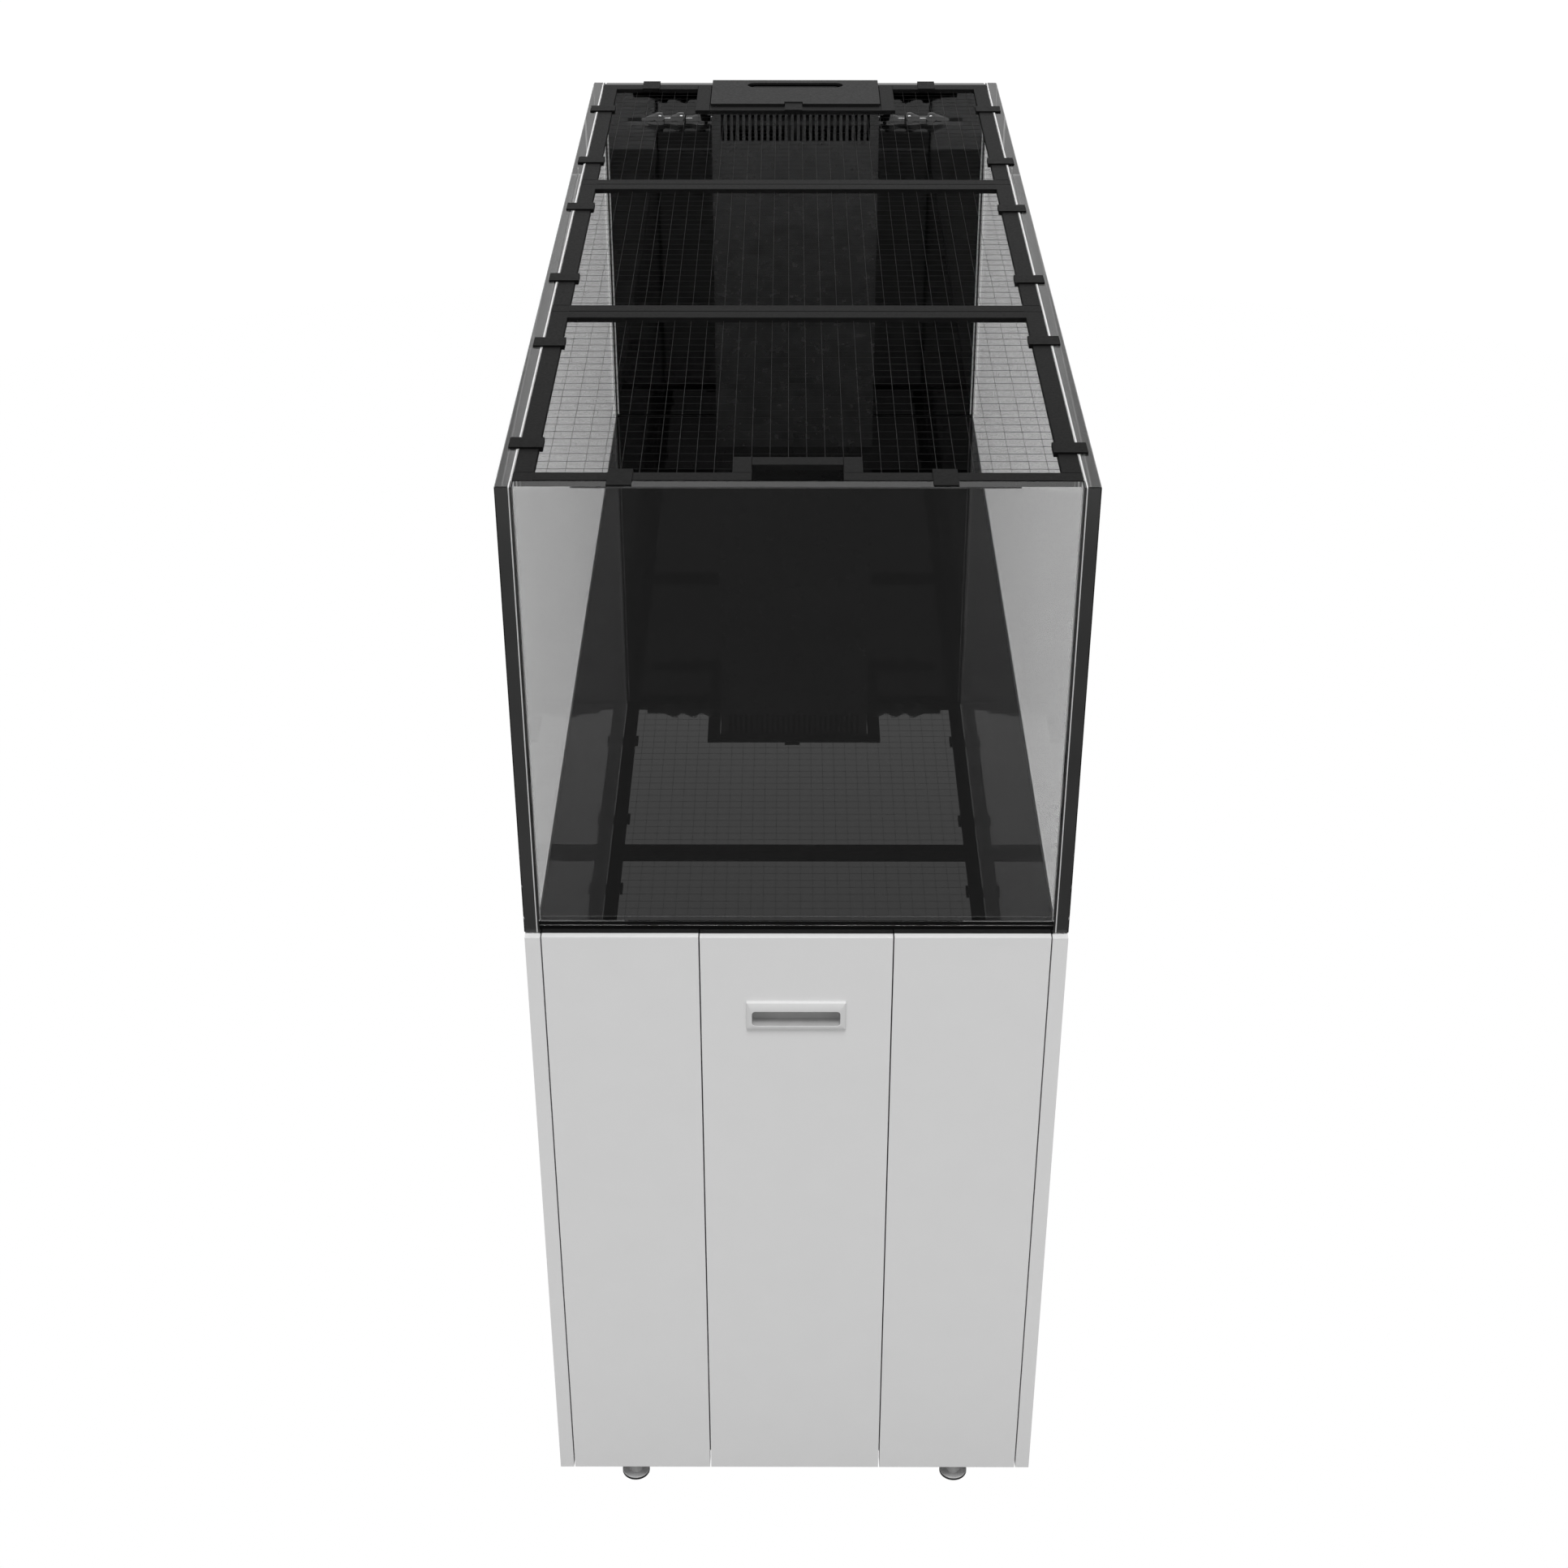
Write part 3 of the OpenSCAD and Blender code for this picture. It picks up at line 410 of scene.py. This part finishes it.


def rounded_loop(bm, place, width, height, radius, y, shift=0.0):
    """A rounded rectangle in the XZ plane at this y, as one loop of vertices."""
    loop = []
    for cx, cz, first in ((1, 1, 0), (-1, 1, 90), (-1, -1, 180), (1, -1, 270)):
        for k in range(CORNER_STEPS + 1):
            turn = math.radians(first + 90 * k / CORNER_STEPS)
            x = cx * (width / 2 - radius) + radius * math.cos(turn)
            z = cz * (height / 2 - radius) + radius * math.sin(turn) - shift
            loop.append(bm.verts.new(place @ Vector((x, y, z))))
    return loop


def recessed_handle(bm, place):
    """A moulded plate that stands proud of a panel round a scooped finger recess.
    Before place is applied, the panel's face is y = 0 and the handle's front faces -Y."""
    width, height, proud = PLATE
    recess_w, recess_h, deep = RECESS

    def plate_loop(less, radius, y):
        return rounded_loop(bm, place, width - less, height - less, radius, y)

    def recess_loop(more, radius, y):
        return rounded_loop(bm, place, recess_w + more, recess_h + more, radius, y, RECESS_SHIFT)

    loops = [
        plate_loop(0, 1.2 * MM, 0),
        plate_loop(0, 1.2 * MM, PLATE_CHAMFER - proud),
        plate_loop(PLATE_CHAMFER, 0.8 * MM, 0.35 * PLATE_CHAMFER - proud),
        plate_loop(2 * PLATE_CHAMFER, 0.5 * MM, -proud),
        recess_loop(RECESS_LIP, RECESS_R + 0.4 * MM, -proud),
        recess_loop(0.3 * RECESS_LIP, RECESS_R + 0.1 * MM, 0.3 * RECESS_LIP - proud),
        recess_loop(0, RECESS_R, RECESS_LIP - proud),
        recess_loop(0, RECESS_R, deep - RECESS_R),
        recess_loop(-0.6 * RECESS_R, 3 * MM, deep - 0.3 * RECESS_R),
        recess_loop(-2 * RECESS_R, 1.5 * MM, deep),
    ]
    # The recess's inner faces take the darker material: painted shade for the shadow in the recess.
    shaded_recess_faces = [bm.faces.new(loops[-1])]
    for i, (low, high) in enumerate(zip(loops, loops[1:])):
        made = bridge(bm, low, high)
        if i >= LIP_LOOP:
            shaded_recess_faces += made
    for face in shaded_recess_faces:
        face.material_index = 1
    back = recess_loop(2 * RECESS_WALL, RECESS_R, 0)
    base = recess_loop(2 * RECESS_WALL, RECESS_R, deep + RECESS_WALL)
    bridge(bm, loops[0], back)
    bridge(bm, back, base)
    bm.faces.new(base)


CUP_R = 17.5 * MM
CUP_INNER_R = 15.9 * MM
CUP_DEPTH = 12 * MM
CUP_WALL = 1.0 * MM
CUP_STEPS = 32


def hinge_cup(bm, centre, sign):
    """A pressed cup, sunk into a door whose inside faces -sign * X."""
    profile = [(CUP_R, CUP_DEPTH), (CUP_R, 0), (CUP_INNER_R, 0),
               (CUP_INNER_R - CUP_WALL, CUP_DEPTH - CUP_WALL)]
    loops = []
    for r, d in profile:
        ring = []
        for k in range(CUP_STEPS):
            turn = 2 * math.pi * k / CUP_STEPS
            ring.append(bm.verts.new(centre + Vector((sign * d, r * math.cos(turn), r * math.sin(turn)))))
        loops.append(ring)
    for low, high in zip(loops, loops[1:]):
        bridge(bm, low, high)
    bm.faces.new(loops[0])
    bm.faces.new(loops[-1])


PLATE_DROP = 87 * MM + PLATE[1] / 2  # from the top of the cabinet to the middle of a handle
DOOR_HANDLE_IN = 90 * MM  # from the middle of the cabinet to the middle of a door's handle
CUP_IN = 22.5 * MM  # from a door's edge to the middle of a cup
HINGE_END = 100 * MM  # from the doors' ends to the outer hinges


def centre_handle():
    low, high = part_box("centre_panel")
    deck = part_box("front_left_panel")[1].z
    place = Matrix.Translation((0, low.y, deck - PLATE_DROP))
    bm = bmesh.new()
    recessed_handle(bm, place)
    finish_piece("centre_handle", bm, "pull_out", "handle_plastic", ["centre_panel_handle"], True,
                 ["handle_recess_painted_shade"])


def door_fittings(side, end):
    """The handle and the hinge cups of a side door."""
    sx, sy = SIDES[side], ENDS[end]
    node = f"{side}_{end}_door"
    low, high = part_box(node)
    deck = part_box("front_left_panel")[1].z
    face_x = high.x if sx > 0 else low.x
    inside_x = low.x if sx > 0 else high.x
    place = Matrix.Translation((face_x, sy * DOOR_HANDLE_IN, deck - PLATE_DROP))
    bm = bmesh.new()
    recessed_handle(bm, place @ Matrix.Rotation(math.radians(90 * sx), 4, "Z"))
    end_y = low.y if sy < 0 else high.y
    bottom, top = low.z + HINGE_END, deck - HINGE_END
    for z in (bottom, (bottom + top) / 2, top):
        hinge_cup(bm, Vector((inside_x, end_y - sy * CUP_IN, z)), sx)
    finish_piece(f"{side}_{end}_fittings", bm, f"{side}_{end}_leaf", "handle_plastic",
                 [node + "_fittings"], True, ["handle_recess_painted_shade"])


# ---- Stage ----

FLOOR_R = 3.8
FLOOR_SEEN = 1.0
FLOOR_MIRRORED = 0.15
FLOOR_MATT = 0.35
SKY_SEEN = 1.02
SKY_FILL = 0.45
SUN_STRENGTH = 2.1
SUN_HEIGHT = 68.0  # degrees above the horizon, from the front
SUN_SPREAD = 25.0  # degrees
LAMP_PLACE = (0, 0.65, 4.2)
LAMP_SIZE = (1.2, 0.5)
LAMP_POWER = 40
WHITE = (1, 1, 1, 1)


def make_floor():
    """A plain pale floor. It shows white, through glass too, and mirrors see it as a dim floor."""
    bm = bmesh.new()
    bmesh.ops.create_circle(bm, cap_ends=True, segments=96, radius=FLOOR_R)
    mesh = bpy.data.meshes.new("floor")
    bm.to_mesh(mesh)
    bm.free()
    floor = bpy.data.objects.new("floor", mesh)
    bpy.context.collection.objects.link(floor)
    mat = bpy.data.materials.new("floor_white")
    mat.use_nodes = True
    mat.node_tree.nodes.clear()
    out = add(mat, "OutputMaterial")
    path = add(mat, "LightPath")
    matt = add(mat, "BsdfDiffuse", Color=(*rgb(FLOOR_MATT), 1))
    glow = add(mat, "Emission", Color=WHITE, Strength=FLOOR_SEEN)
    dim = add(mat, "Emission", Color=WHITE, Strength=FLOOR_MIRRORED)
    mirrored = add(mat, "Math")
    mirrored.operation = "COMPARE"  # one mirroring deep, within a half
    mirrored.inputs[1].default_value = 1.0
    mirrored.inputs[2].default_value = 0.5
    pick_diffuse = add(mat, "MixShader")
    pick_mirrored = add(mat, "MixShader")
    link(mat, path.outputs["Is Diffuse Ray"], pick_diffuse.inputs[0])
    link(mat, glow.outputs[0], pick_diffuse.inputs[1])
    link(mat, matt.outputs[0], pick_diffuse.inputs[2])
    link(mat, path.outputs["Glossy Depth"], mirrored.inputs[0])
    link(mat, mirrored.outputs[0], pick_mirrored.inputs[0])
    link(mat, pick_diffuse.outputs[0], pick_mirrored.inputs[1])
    link(mat, dim.outputs[0], pick_mirrored.inputs[2])
    link(mat, pick_mirrored.outputs[0], out.inputs[0])
    floor.data.materials.append(mat)


def make_world():
    """An even white studio: full white where it is seen, softer as fill light."""
    world = bpy.data.worlds.new("studio")
    bpy.context.scene.world = world
    world.use_nodes = True
    tree = world.node_tree
    tree.nodes.clear()
    out = tree.nodes.new("ShaderNodeOutputWorld")
    seen = tree.nodes.new("ShaderNodeBackground")
    fill = tree.nodes.new("ShaderNodeBackground")
    pick = tree.nodes.new("ShaderNodeMixShader")
    path = tree.nodes.new("ShaderNodeLightPath")
    for background, strength in ((seen, SKY_SEEN), (fill, SKY_FILL)):
        background.inputs["Color"].default_value = WHITE
        background.inputs["Strength"].default_value = strength
    tree.links.new(path.outputs["Is Diffuse Ray"], pick.inputs[0])
    tree.links.new(seen.outputs[0], pick.inputs[1])
    tree.links.new(fill.outputs[0], pick.inputs[2])
    tree.links.new(pick.outputs[0], out.inputs[0])


def overhead_light():
    """A soft box that hangs over the overflow end and faces straight down."""
    data = bpy.data.lights.new("overhead", "AREA")
    data.shape = "RECTANGLE"
    data.size, data.size_y = LAMP_SIZE
    data.energy = LAMP_POWER
    lamp = bpy.data.objects.new("overhead", data)
    lamp.location = LAMP_PLACE
    bpy.context.collection.objects.link(lamp)


def sun_light():
    """An even light from the front and above that leaves no glint of its own."""
    data = bpy.data.lights.new("key", "SUN")
    data.energy = SUN_STRENGTH
    data.angle = math.radians(SUN_SPREAD)
    lamp = bpy.data.objects.new("key", data)
    lamp.rotation_euler = (math.radians(90 - SUN_HEIGHT), 0, 0)
    lamp.visible_glossy = False
    bpy.context.collection.objects.link(lamp)


def make_stage():
    bpy.context.scene.view_settings.view_transform = "Standard"
    make_floor()
    make_world()
    overhead_light()
    sun_light()


# ---- Build ----


def paint_frame():
    """Gives every CAD node the material of its slot."""
    for row in frame["record"]["subparts"]:
        obj = frame["nodes"][row["node"]]
        obj.data.materials.clear()
        obj.data.materials.append(MATERIALS[row["material_slot"]])


def main():
    make_camera()
    paint_frame()
    pane("tank_front_glass", "clear_glass", (0, 1, 0))
    pane("tank_left_glass", "clear_glass", (1, 0, 0))
    pane("tank_right_glass", "clear_glass", (-1, 0, 0))
    pane("tank_back_glass", "black_glass", (0, -1, 0), BACK_ARRIS)
    nets()
    centre_handle()
    for side in SIDES:
        for end in ENDS:
            door_fittings(side, end)
    make_stage()


main()
